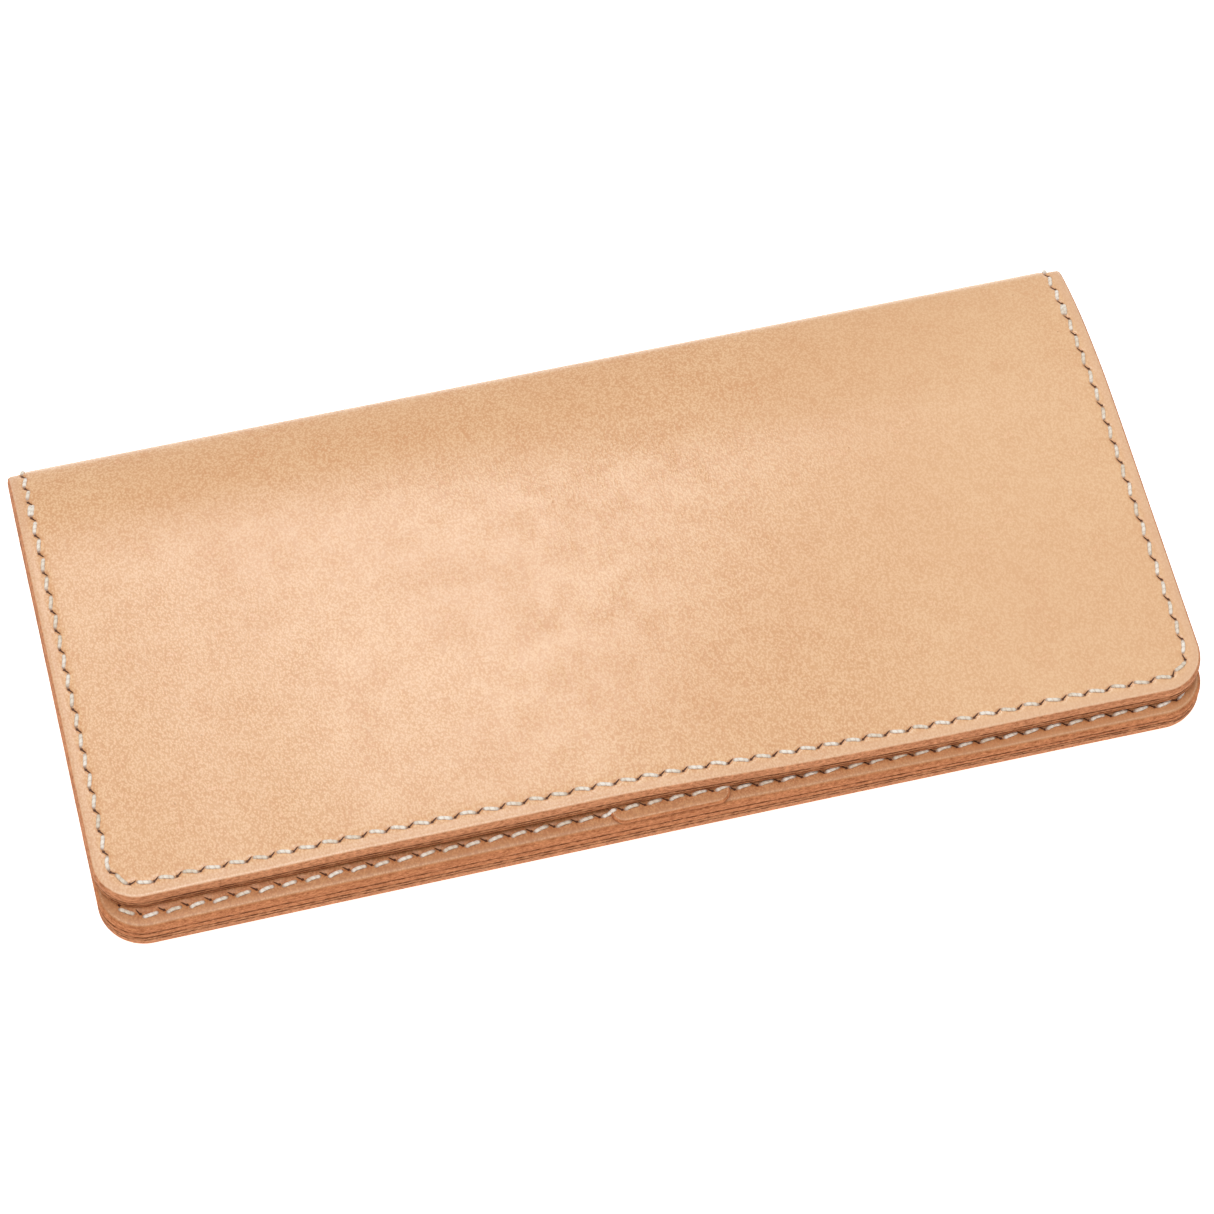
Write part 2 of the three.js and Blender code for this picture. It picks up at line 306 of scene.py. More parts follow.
class Pattern:
    """Flat points and faces: rings that follow the outline outside, and a plain grid inside."""

    def __init__(self, rows, columns, corner, rim=RIM, coarse=RIM_COARSE, arc=12, centre=0.0, closed=True):
        self.points = []
        self.faces = []
        columns = np.asarray(columns, float)
        rows = np.asarray(rows, float)
        grid = [[self.add(x + centre, s) for x in columns] for s in rows]
        for j in range(len(rows) - 1):
            for i in range(len(columns) - 1):
                self.faces.append((grid[j][i], grid[j][i + 1], grid[j + 1][i + 1], grid[j + 1][i]))
        fine_rows = finer(rows, RATIO)
        fine_columns = finer(columns, RATIO)
        left = [((columns[0] + centre, s), (-1.0, 0.0)) for s in fine_rows[::-1]]
        right = [((columns[-1] + centre, s), (1.0, 0.0)) for s in fine_rows]
        left_roots = [row[0] for row in grid[::-1]]
        right_roots = [row[-1] for row in grid]
        if not closed:
            self.chain(left, left_roots, corner, rim, coarse)
            self.chain(right, right_roots, corner, rim, coarse)
            return
        turns = np.linspace(0.0, math.pi / 2, arc * RATIO + 1)[1:-1]
        chain = left
        chain += [((columns[0] + centre, rows[0]), (-math.cos(a), -math.sin(a))) for a in turns]
        chain += [((x + centre, rows[0]), (0.0, -1.0)) for x in fine_columns]
        chain += [((columns[-1] + centre, rows[0]), (math.sin(a), -math.cos(a))) for a in turns]
        chain += right
        roots = left_roots + [grid[0][0]] * (arc - 1)
        roots += grid[0] + [grid[0][-1]] * (arc - 1) + right_roots
        self.chain(chain, roots, corner, rim, coarse)

    def add(self, x, s):
        self.points.append((x, s))
        return len(self.points) - 1

    def chain(self, ribs, roots, corner, rim, coarse):
        ring = None
        for inset in rim:
            row = [self.add(r[0] + (corner - inset) * n[0], r[1] + (corner - inset) * n[1]) for r, n in ribs]
            if ring is not None:
                for k in range(len(row) - 1):
                    self.faces.append((ring[k], ring[k + 1], row[k + 1], row[k]))
            ring = row
        ratio = RATIO
        inner = [[self.add(r[0] + (corner - inset) * n[0], r[1] + (corner - inset) * n[1])
                  for r, n in ribs[::RATIO]] for inset in coarse]
        for row in inner + [roots]:
            for k in range(len(row) - 1):
                outer = ring[k * ratio:(k + 1) * ratio + 1]
                face = list(outer) + [row[k + 1]] + ([row[k]] if row[k] != row[k + 1] else [])
                self.faces.append(tuple(face))
            ring = row
            ratio = 1

    def arrays(self, keep=None):
        """The points and faces, or only the faces whose middle keep accepts."""
        points = np.array(self.points)
        if keep is None:
            return points, self.faces
        faces = [f for f in self.faces if keep(*points[list(f)].mean(axis=0))]
        used = sorted({k for f in faces for k in f})
        number = {k: n for n, k in enumerate(used)}
        return points[used], [tuple(number[k] for k in f) for f in faces]


INNER_X = HALF - CORNER
MOUTH_ROWS = np.array([MOUTH_TURN, 0.7, 0.35, 0.15, 0.05, 0.0])


def columns_with(splits=()):
    """Columns about 1 mm apart that include the given ones."""
    stops = sorted([-INNER_X, *splits, INNER_X])
    parts = [between(a, b, 1.0)[:-1] for a, b in zip(stops[:-1], stops[1:])]
    return np.append(np.concatenate(parts), INNER_X)


def rows_to(rear, stops=()):
    """Rows about 1 mm apart up to a rear edge, closer where that edge is rounded."""
    marks = [CORNER, *stops, rear - MOUTH_TURN]
    parts = [between(a, b, 1.0)[:-1] for a, b in zip(marks[:-1], marks[1:])]
    return np.concatenate(parts + [rear - MOUTH_ROWS])


# ---- Bodies of leather ----
def rounding(distance, radius, reach):
    """How far a face drops towards its edge, for an edge rounded over a reach."""
    share = np.clip(1.0 - distance / np.maximum(reach, 1e-6), 0.0, 1.0)
    return radius * (1.0 - np.sqrt(np.clip(1.0 - share * share, 0.0, 1.0)))


def dent(along_holes, off, pitch, depth):
    """The groove that a seam presses into a face, deepest at its holes."""
    to_hole = (along_holes - np.round(along_holes)) * pitch
    groove = 0.55 * np.exp(-((off / 0.55) ** 2))
    along_slit = to_hole * math.cos(SLIT_TURN) + off * math.sin(SLIT_TURN)
    across_slit = to_hole * math.sin(SLIT_TURN) - off * math.cos(SLIT_TURN)
    slit = 1.3 * np.exp(-((along_slit / 0.75) ** 2) - (across_slit / 0.4) ** 2)
    margin = 0.9 * smooth(-off, -0.2, 1.1)
    return depth * (groove + slit + margin)


def make_mesh(name, points, faces):
    mesh = bpy.data.meshes.new(name)
    mesh.from_pydata((points * MM).tolist(), [], faces)
    mesh.update()
    mesh.polygons.foreach_set("use_smooth", np.ones(len(mesh.polygons), bool))
    obj = bpy.data.objects.new(name, mesh)
    bpy.context.scene.collection.objects.link(obj)
    return obj


def store(obj, name, values):
    layer = obj.data.attributes.new(name, "FLOAT_VECTOR", "POINT")
    layer.data.foreach_set("vector", np.asarray(values, np.float32).ravel())


def boundary(faces):
    """Edges with one face, in the direction that their face runs."""
    seen = {}
    for f in faces:
        for a, b in zip(f, f[1:] + f[:1]):
            seen[(a, b)] = True
    return [e for e in seen if (e[1], e[0]) not in seen]


WALL = [0.1, 0.3, 0.5, 0.7, 0.9]  # levels of the points in a cut edge, from the low face to the high one
FAR = 9.0  # stands for a face that no layer is glued to
FREE = 0.3  # a face with a rounding above this is a free one
ON_CUT = 0.01  # a place this near to the edge lies on the cut
DENT = 0.16  # depth of the groove that the seam presses in
BACK_DENT = 2.2  # how much deeper it is under the holder


def leather(name, pattern, back, low, high, edges, material, keep=None, seed=1):
    """A closed layer. low and high give the heights of its faces at flat places, and edges gives each
    flat place's distance to the nearest finished edge with the roundings of the two faces."""
    flat, faces = pattern.arrays(keep)
    x, s = flat[:, 0], flat[:, 1]
    to_edge, low_round, high_round = edges(x, s)
    inset, along = place(x, s)
    pitch = PITCHES[back]
    off = inset - seam_margin(x, s, back)
    holes = (-along if back else along) / pitch
    bottom = low(x, s)
    top = high(x, s)
    thick = top - bottom
    edge_low = rounding(to_edge, np.minimum(low_round, 0.49 * thick), 1.25 * low_round)
    edge_high = rounding(to_edge, np.minimum(high_round, 0.49 * thick), 1.25 * high_round)
    pressed = dent(holes, off, pitch, DENT)
    press_low = pressed * (low_round > FREE) * (BACK_DENT if back else 1.0)
    press_high = pressed * (high_round > FREE)
    low_t = bottom + edge_low + np.minimum(press_low, 0.3 * thick)
    high_t = top - edge_high - np.minimum(press_high, 0.3 * thick)
    rim = boundary(faces)
    rim_points = sorted({a for e in rim for a in e})
    count = len(flat)
    layers = [low_t, high_t]
    points_x = [x, x]
    points_s = [s, s]
    points_t = [low_t, high_t]
    rows = {}
    position = 2 * count
    wander = ripple(along, 0.05, seed)
    out_x, out_s = outward(x, s)
    for level in WALL:
        rows[level] = {p: position + n for n, p in enumerate(rim_points)}
        position += len(rim_points)
        t = low_t[rim_points] + (high_t - low_t)[rim_points] * level
        swell = 0.06 * thick[rim_points] * (1.0 - (2 * level - 1) ** 2) + wander[rim_points] * 0.5
        swell = swell * (to_edge[rim_points] < ON_CUT)
        points_x.append(x[rim_points] + out_x[rim_points] * swell)
        points_s.append(s[rim_points] + out_s[rim_points] * swell)
        points_t.append(t)
    all_faces = [f[::-1] for f in faces]
    all_faces += [tuple(k + count for k in f) for f in faces]
    ladder = [{p: p for p in rim_points}] + [rows[level] for level in WALL]
    ladder += [{p: p + count for p in rim_points}]
    for a, b in rim:
        for lower, upper in zip(ladder[:-1], ladder[1:]):
            all_faces.append((lower[a], lower[b], upper[b], upper[a]))
    fx, fs, ft = (np.concatenate(v) for v in (points_x, points_s, points_t))
    full_s = fs if back else TOTAL - fs
    if not back:
        all_faces = [f[::-1] for f in all_faces]
    obj = make_mesh(name, fold(fx, full_s, ft), all_faces)
    source = np.concatenate([np.arange(count), np.arange(count)] + [rim_points] * len(WALL)).astype(int)
    side = np.concatenate([np.zeros(count), np.zeros(count)] + [np.full(len(rim_points), 1.0)] * len(WALL))
    worn_reach = 0.25 + 0.65 * np.maximum(low_round, high_round)
    worn = np.clip(1.0 - to_edge / worn_reach, 0.0, 1.0)
    cut = (to_edge < ON_CUT).astype(float)
    edge_mark = np.where(side > 0, cut[source], worn[source])
    levels = np.concatenate([np.zeros(count), np.ones(count)] + [np.full(len(rim_points), v) for v in WALL])
    glued_low = np.where(low_round > FREE, FAR, 0.0)[source] + levels * thick[source]
    glued_high = np.where(high_round > FREE, FAR, 0.0)[source] + (1.0 - levels) * thick[source]
    to_glue = np.minimum(glued_low, glued_high)
    store(obj, "wall", np.stack((to_glue, levels, np.zeros_like(levels)), axis=1))
    store(obj, "flat", np.stack((fx, full_s, ft), axis=1))
    store(obj, "seam", np.stack((holes[source], off[source], edge_mark), axis=1))
    obj.data.materials.append(material)
    return obj


def outward(x, s):
    """The flat direction from a point to the nearest edge of the half's outline."""
    ax = np.abs(x)
    cx, cs = ax - (HALF - CORNER), CORNER - s
    corner = (cx > 0) & (cs > 0)
    length = np.maximum(np.hypot(cx, cs), 1e-9)
    side_way = np.where(corner, cx / length, (HALF - ax < s).astype(float))
    front_way = np.where(corner, cs / length, (HALF - ax >= s).astype(float))
    return np.sign(x) * side_way, -front_way


# ---- Heights of the layers of the back half ----
def slot_there(x, s, mouth):
    """1 where a slot leather lies, fading out at its foot and beside its narrow part."""
    ear = smooth(s, mouth - EAR_HEIGHT - 1.0, mouth - EAR_HEIGHT)
    beside = smooth(np.abs(x), HALF - EAR_INSET - 3.0, HALF - EAR_INSET + 0.5)
    return smooth(s, SLOT_FOOT - 1.0, SLOT_FOOT + 9.0) * (1.0 - (1.0 - ear) * beside)


def swell(x, s):
    """Fullest where the edge is sewn, and pressed thinner inside."""
    return along_x(x, SWELLS) * (1.0 - 0.45 * smooth(s, 4.0, 14.0))


def lining_top(x, s):
    return COVER + LINING + 0.15 * swell(x, s)


def note_top(x, s):
    return lining_top(x, s) + NOTE + 0.35 * swell(x, s)


def rear_slot_top(x, s):
    return note_top(x, s) + SLOT * slot_there(x, s, MOUTHS[0])


def middle_slot_top(x, s):
    return rear_slot_top(x, s) + SLOT * slot_there(x, s, MOUTHS[1])


def card_top(x, s):
    inner = smooth(s, 5.0, 16.0) * smooth(HALF - np.abs(x), 5.0, 14.0)
    return middle_slot_top(x, s) + CARD_EDGE + 0.5 * swell(x, s) + (CARD_INNER - CARD_EDGE) * inner


def under_strip(x, s):
    """What the centre strip lies on: it follows the mouths of the panels down, softly."""
    top = rear_slot_top(x, s)
    middle = middle_slot_top(x, s)
    card = card_top(x, s)
    on_middle = 1.0 - smooth(s, MOUTHS[1] - 0.3, MOUTHS[1] + 1.6)
    on_card = 1.0 - smooth(s, MOUTHS[2] - 0.3, MOUTHS[2] + 2.4)
    return top + (middle - top) * on_middle + (card - middle) * on_card


def strip_inset(x, s):
    """Distance inside the centre strip's outline, negative outside."""
    ax = np.abs(x - STRIP_X)
    cx, cs = ax - (STRIP_HALF - STRIP_CORNER), STRIP_CORNER - s
    corner = (cx > 0) & (cs > 0)
    plain = np.minimum(STRIP_HALF - ax, s)
    return np.where(corner, STRIP_CORNER - np.hypot(cx, cs), plain)


def strip_thickness(s):
    return STRIP + (STRIP_BEHIND - STRIP) * smooth(s, 2.6, 6.0)


def inner_face(x, s, back):
    """Height of the face inside a half that its seam shows on."""
    if not back:
        edge = np.where(s < NOTE_REAR - SETBACK, COVER + FRONT_LINING + FRONT_NOTE, COVER + FRONT_LINING)
        return np.where(s < LINING_REAR - SETBACK, edge, COVER)
    stack = np.where(s < MOUTHS[2], card_top(x, s), middle_slot_top(x, s))
    stack = np.where(s < MOUTHS[1], stack, rear_slot_top(x, s))
    stack = np.where(s < MOUTHS[0], stack, note_top(x, s))
    stack = np.where(s < NOTE_REAR, stack, lining_top(x, s))
    stack = np.where(s < LINING_REAR, stack, COVER)
    return stack + strip_thickness(s) * smooth(strip_inset(x, s), -0.6, 0.5) * (s < MOUTHS[0])


# ---- Materials ----
GRAIN_DEPTH = 0.000024  # metres for each unit of height in the leather's relief
THREAD_DEPTH = 0.00004
LAY = 0.9  # length of one turn of the thread's plies


def srgb(red, green, blue):
    def linear(value):
        value /= 255.0
        return value / 12.92 if value <= 0.04045 else ((value + 0.055) / 1.055) ** 2.4

    return (linear(red), linear(green), linear(blue), 1.0)


class Graph:
    """A material's nodes, made one call at a time. An input is a socket or a plain value."""

    def __init__(self, name):
        self.material = bpy.data.materials.new(name)
        self.material.use_nodes = True
        self.tree = self.material.node_tree
        self.tree.nodes.clear()

    def node(self, kind, inputs=None, **settings):
        made = self.tree.nodes.new(kind)
        for key, value in settings.items():
            setattr(made, key, value)
        for key, value in (inputs or {}).items():
            socket = made.inputs[key]
            if isinstance(value, bpy.types.NodeSocket):
                self.tree.links.new(value, socket)
            else:
                socket.default_value = value
        return made

    def math(self, operation, a, b=0.0):
        return self.node("ShaderNodeMath", {0: a, 1: b}, operation=operation).outputs[0]

    def ramp(self, value, low, high, to_low=0.0, to_high=1.0):
        made = self.node(
            "ShaderNodeMapRange",
            {"Value": value, "From Min": low, "From Max": high, "To Min": to_low, "To Max": to_high},
            interpolation_type="SMOOTHSTEP",
        )
        return made.outputs["Result"]

    def mix(self, share, a, b):
        made = self.node("ShaderNodeMix", data_type="RGBA")
        sockets = {"Factor": share, "A": a, "B": b}
        for socket in made.inputs:
            if socket.enabled and socket.name in sockets:
                value = sockets[socket.name]
                if isinstance(value, bpy.types.NodeSocket):
                    self.tree.links.new(value, socket)
                else:
                    socket.default_value = value
        return next(o for o in made.outputs if o.enabled)

    def attribute(self, name):
        made = self.node("ShaderNodeAttribute", attribute_name=name)
        parts = self.node("ShaderNodeSeparateXYZ", {0: made.outputs["Vector"]})
        return made.outputs["Vector"], parts.outputs

    def stretched(self, vector, scale):
        made = self.node("ShaderNodeVectorMath", {0: vector, 1: scale}, operation="MULTIPLY")
        return made.outputs[0]

    def noise(self, vector, scale, detail=3.0, rough=0.5, distort=0.0):
        made = self.node(
            "ShaderNodeTexNoise",
            {"Vector": vector, "Scale": scale, "Detail": detail, "Roughness": rough, "Distortion": distort},
        )
        return made.outputs["Fac"]

    def cells(self, vector, scale, feature="F1"):
        made = self.node("ShaderNodeTexVoronoi", {"Vector": vector, "Scale": scale}, feature=feature)
        return made.outputs["Distance"]

    def bump(self, height, distance):
        return self.node("ShaderNodeBump", {"Height": height, "Distance": distance}).outputs[0]

    def finish(self, **inputs):
        shader = self.node("ShaderNodeBsdfPrincipled", {k.replace("_", " "): v for k, v in inputs.items()})
        self.node("ShaderNodeOutputMaterial", {"Surface": shader.outputs[0]})
        return self.material


def stitch_slits(g, holes, off):
    """How dark a slit is, painted as the shade inside its stitch hole, and the stain round it, at a place by
    the seam.
    """
    to_hole = g.math("MULTIPLY", g.math("SUBTRACT", holes, g.math("ROUND", holes)), PITCH)
    long_way, short_way = math.cos(SLIT_TURN), math.sin(SLIT_TURN)
    along = g.math("ADD", g.math("MULTIPLY", to_hole, long_way), g.math("MULTIPLY", off, short_way))
    across = g.math("SUBTRACT", g.math("MULTIPLY", to_hole, short_way), g.math("MULTIPLY", off, long_way))

    def oval(long, wide):
        a = g.math("POWER", g.math("DIVIDE", g.math("ABSOLUTE", along), long), 2.0)
        b = g.math("POWER", g.math("DIVIDE", g.math("ABSOLUTE", across), wide), 2.0)
        return g.math("SQRT", g.math("ADD", a, b))

    slit = g.ramp(oval(0.85, 0.14), 0.65, 1.15, 1.0, 0.0)
    stain = g.ramp(oval(1.3, 0.5), 0.4, 1.15, 1.0, 0.0)
    by_end = g.math("POWER", g.math("ADD", along, 0.36), 2.0)
    hole = g.math("SQRT", g.math("ADD", by_end, g.math("POWER", across, 2.0)))
    slit = g.math("MAXIMUM", slit, g.ramp(hole, 0.16, 0.32, 1.0, 0.0))
    return slit, stain


def leather_material(
    name, pale, mid, warm, valley_shade_tone, margin_tone, edge_pale, edge_dark, rough, grain=1.0,
):
    g = Graph(name)
    flat, (fx, _, _) = g.attribute("flat")
    _, (holes, off, edge) = g.attribute("seam")
    plane = g.stretched(flat, (1.0, 1.0, 0.6))
    # colour: broad mottling, a finer cloud and pores
    broad = g.noise(plane, 0.028, 3.0, 0.55, 0.4)
    cloud = g.noise(plane, 0.16, 4.0, 0.6)
    fine = g.noise(plane, 1.3, 4.0, 0.65)
    tone = g.mix(g.ramp(broad, 0.36, 0.66), pale, mid)
    tone = g.mix(g.ramp(cloud, 0.4, 0.75, 0.0, 0.2), tone, warm)
    tone = g.mix(g.ramp(fine, 0.38, 0.75, 0.0, 0.22), tone, warm)
    specks = g.cells(plane, 0.33)
    speck_size = g.noise(plane, 0.21, 1.0)
    speck = g.math("MULTIPLY", g.ramp(specks, 0.03, 0.08, 1.0, 0.0), g.ramp(speck_size, 0.6, 0.66))
    tone = g.mix(g.math("MULTIPLY", speck, 0.45), tone, edge_dark)
    # creases that run from front to back, strongest near the middle of the length
    crease_place = g.stretched(flat, (0.9, 0.09, 0.3))
    crease = g.noise(crease_place, 1.0, 4.0, 0.6, 0.7)
    crease_line = g.ramp(g.math("ABSOLUTE", g.math("SUBTRACT", crease, 0.5)), 0.0, 0.03, 1.0, 0.0)
    from_middle = g.math("ABSOLUTE", g.math("SUBTRACT", fx, 9.0))
    crease_share = g.math("MULTIPLY", g.ramp(from_middle, 6.0, 46.0, 1.0, 0.16), g.ramp(cloud, 0.4, 0.62))
    crease_line = g.math("MULTIPLY", crease_line, crease_share)
    # painted shade: the crease lines are also darkened in colour, as if shaded
    tone = g.mix(g.math("MULTIPLY", crease_line, 0.2), tone, warm)
    # the cut edge: burnished fibres in layers, dark where the next layer is glued on
    fibre = g.noise(g.stretched(flat, (1.1, 1.1, 2.4)), 1.0, 5.0, 0.75)
    streak = g.noise(g.stretched(flat, (0.07, 0.07, 1.5)), 1.0, 3.0, 0.6)
    blotch = g.noise(g.stretched(flat, (0.45, 0.45, 0.9)), 1.0, 3.0, 0.6)
    edge_tone = g.mix(g.ramp(fibre, 0.34, 0.66), edge_dark, edge_pale)
    edge_tone = g.mix(g.ramp(streak, 0.42, 0.66, 0.0, 0.35), edge_tone, edge_dark)
    edge_tone = g.mix(g.ramp(blotch, 0.5, 0.75, 0.0, 0.5), edge_tone, edge_pale)
    _, (to_glue, _, _) = g.attribute("wall")
    glue = g.math("ADD", to_glue, g.math("MULTIPLY", g.math("SUBTRACT", fibre, 0.5), 0.3))
    glue_line = g.math("MULTIPLY", g.ramp(glue, 0.05, 0.3, 0.8, 0.0), g.ramp(blotch, 0.62, 0.4, 0.25, 1.0))
    edge_tone = g.mix(glue_line, edge_tone, srgb(70, 36, 18))
    ragged = g.math("ADD", edge, g.math("MULTIPLY", g.math("SUBTRACT", fine, 0.5), 0.35))
    # painted highlight: a pale band just inside the brown rim stands for the shine on the rounded shoulder
    # of the edge
    painted_shoulder_highlight = g.math("MULTIPLY", g.ramp(edge, 0.0, 0.2), g.ramp(edge, 0.2, 0.45, 1.0, 0.0))
    tone = g.mix(g.math("MULTIPLY", painted_shoulder_highlight, 0.4), tone, srgb(246, 214, 180))
    on_edge = g.ramp(ragged, 0.3, 0.7)
    tone = g.mix(on_edge, tone, edge_tone)
    # grain: pebbles with fine lines between them, flatter towards the right-hand end
    pebble = g.cells(g.stretched(flat, (1.0, 0.8, 0.6)), 3.2, "SMOOTH_F1")
    pebble_fine = g.noise(plane, 5.6, 3.0, 0.6)
    depth = g.math("MULTIPLY", g.ramp(fx, 20.0, 75.0, 1.0, 0.55), g.ramp(cloud, 0.3, 0.7, 0.85, 1.1))
    depth = g.math("MULTIPLY", depth, g.math("SUBTRACT", 1.0, on_edge))
    grain_height = g.math("ADD", g.math("MULTIPLY", pebble, -0.9), g.math("MULTIPLY", pebble_fine, 0.55))
    height = g.math("MULTIPLY", grain_height, depth)
    # painted shade: the valleys between the grain's pebbles are darkened in colour, standing in for their
    # shade
    painted_valley_shade = g.math("MULTIPLY", g.ramp(grain_height, -0.28, 0.1, 1.0, 0.0), depth)
    tone = g.mix(g.math("MULTIPLY", painted_valley_shade, 0.75 * grain), tone, valley_shade_tone)
    height = g.math("SUBTRACT", height, g.math("MULTIPLY", crease_line, 0.4))
    height = g.math("SUBTRACT", height, g.math("MULTIPLY", speck, 1.2))
    rib = g.math("MULTIPLY", g.math("SUBTRACT", fibre, 0.5), g.math("MULTIPLY", on_edge, 7.0))
    height = g.math("ADD", height, rib)
    shine = g.ramp(cloud, 0.3, 0.7, rough, rough + 0.025)
    shine = g.math("ADD", shine, g.math("MULTIPLY", on_edge, 0.35))
    ior = g.ramp(on_edge, 0.0, 1.0, 1.46, 1.12)
    slit, stain = stitch_slits(g, holes, off)
    pressed = g.math("MULTIPLY", g.ramp(off, -1.6, -0.2, 1.0, 0.0), g.math("SUBTRACT", 1.0, on_edge))
    tone = g.mix(g.math("MULTIPLY", pressed, 0.35), tone, margin_tone)
    tone = g.mix(g.math("MULTIPLY", stain, 0.5), tone, srgb(196, 128, 78))
    # painted shade: the slits and holes are painted near-black for the shade inside them
    tone = g.mix(slit, tone, srgb(84, 46, 24))
    height = g.math("SUBTRACT", height, g.math("MULTIPLY", slit, 4.0))
    shine = g.math("ADD", shine, g.math("MULTIPLY", slit, 0.3))
    normal = g.bump(height, GRAIN_DEPTH * grain)
    return g.finish(Base_Color=tone, Roughness=shine, Normal=normal, IOR=ior)


def thread_material():
    g = Graph("waxed_thread")
    _, (along, turn, level) = g.attribute("ply")
    phase = g.math("ADD", g.math("MULTIPLY", along, 2 * math.pi / LAY), turn)
    ply = g.math("SINE", phase)
    place_in = g.node("ShaderNodeTexCoord").outputs["Object"]
    fuzz = g.noise(place_in, 2600.0, 3.0, 0.6)
    cloud = g.noise(place_in, 220.0, 2.0)
    tone = g.mix(g.ramp(cloud, 0.35, 0.7), srgb(248, 240, 228), srgb(228, 214, 194))
    groove = g.ramp(ply, -1.0, -0.35, 1.0, 0.0)
    # painted shade in the grooves between the thread's plies
    tone = g.mix(g.math("MULTIPLY", groove, 0.35), tone, srgb(190, 150, 112))
    # painted shade: the thread is darkened brown where it dips below the leather into its holes
    tone = g.mix(g.ramp(level, 0.0, 0.24, 0.75, 0.0), tone, srgb(150, 100, 64))
    height = g.math("ADD", ply, g.math("MULTIPLY", fuzz, 0.6))
    return g.finish(Base_Color=tone, Roughness=0.6, Normal=g.bump(height, THREAD_DEPTH), IOR=1.45)


# the fourth colour of each leather is the painted shade of its grain's valleys
COVER_LEATHER = leather_material(
    "cover_leather", srgb(240, 199, 156), srgb(237, 194, 151), srgb(226, 175, 129), srgb(216, 157, 111),
    srgb(230, 188, 158), srgb(228, 160, 116), srgb(172, 108, 72), 0.25,
)
# pocket leather: its own orange-brown, made partly darker as painted shade for the ledge under the front
# half
POCKET_LEATHER = leather_material(
    "pocket_leather", srgb(212, 156, 108), srgb(204, 145, 97), srgb(186, 120, 73), srgb(174, 106, 62),
    srgb(206, 156, 114), srgb(220, 148, 102), srgb(164, 98, 62), 0.42,
)
LINING_LEATHER = leather_material(
    "lining_leather", srgb(228, 184, 142), srgb(220, 172, 126), srgb(204, 148, 102), srgb(196, 136, 90),
    srgb(216, 170, 130), srgb(220, 156, 112), srgb(164, 102, 66), 0.6, 1.2,
)
THREAD = thread_material()


# ---- Covers, in three pieces cut midway between the hinge lines ----
joints = {j["name"]: [value / MM for value in j["pos_m"][1:]] for j in frame["joints"]}
hinges = [np.array(joints[name]) for name in ("fold_line_1", "fold_line_2", "cover_opening")]
STRIP_MIDDLES = [0.5 * (hinges[0] + hinges[1]), 0.5 * (hinges[1] + hinges[2])]


def nearest_s(point):
    s = LEFT[0]
    y, z = 0.5 * (LEFT[2] + RIGHT[2]), 0.5 * (LEFT[3] + RIGHT[3])
    return float(s[np.argmin(np.hypot(y - point[0], z - point[1]))])


CUTS = [nearest_s(point) for point in STRIP_MIDDLES]
HAIR = 0.03  # the rows that meet at a cut share its slope


def cover_rows(first, last, fold_from):
    rows = list(between(first, fold_from, 1.0)[:-1]) + list(between(fold_from, last - HAIR, 0.45))
    return np.array(rows + [last])


def whole(value):
    return lambda x, s: np.full_like(x, value)


def cover_edges(x, s):
    inset, _ = place(x, np.maximum(s, 0.0))
    return inset, np.full_like(x, 0.65), np.full_like(x, 0.12)


def strip_edges(x, s):
    return HALF - np.abs(x), np.full_like(x, 0.65), np.full_like(x, 0.12)


back_pattern = Pattern(cover_rows(CORNER, CUTS[0], FLAT_END - 2.0), columns_with(), CORNER)
back_leather = leather(
    "back_cover_leather", back_pattern, True, whole(0.0), whole(COVER), cover_edges, COVER_LEATHER, seed=11,
)
front_rows = cover_rows(CORNER, TOTAL - CUTS[1], TOTAL - EXTREME - 30.0)
front_pattern = Pattern(front_rows, columns_with(), CORNER)
front_leather = leather(
    "front_cover_leather", front_pattern, False, whole(0.0), whole(COVER), cover_edges, COVER_LEATHER,
    seed=12,
)
spine_rows = np.concatenate((
    [CUTS[0]], between(CUTS[0] + HAIR, CUTS[1] - HAIR, 0.35), [CUTS[1]],
))
spine_pattern = Pattern(spine_rows, columns_with(), CORNER, closed=False)
spine_leather = leather(
    "fold_leather", spine_pattern, True, whole(0.0), whole(COVER), strip_edges, COVER_LEATHER, seed=11,
)


# ---- Inner layers ----
def panel_edges(rear, low_round, high_round):
    def edges(x, s):
        inset, _ = place(x, s)
        to_rear = rear - s
        return np.minimum(inset, to_rear), np.full_like(x, low_round), np.full_like(x, high_round)

    return edges


def panel(name, rear, low, high, rounds, material, node, keep=None, back=True, splits=(), stops=(), seed=3):
    pattern = Pattern(rows_to(rear, stops), columns_with(splits), CORNER)
    obj = leather(name, pattern, back, low, high, panel_edges(rear, *rounds), material, keep, seed=seed)
    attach(obj, "back_half" if back else "front_half")
    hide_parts(node)
    return obj


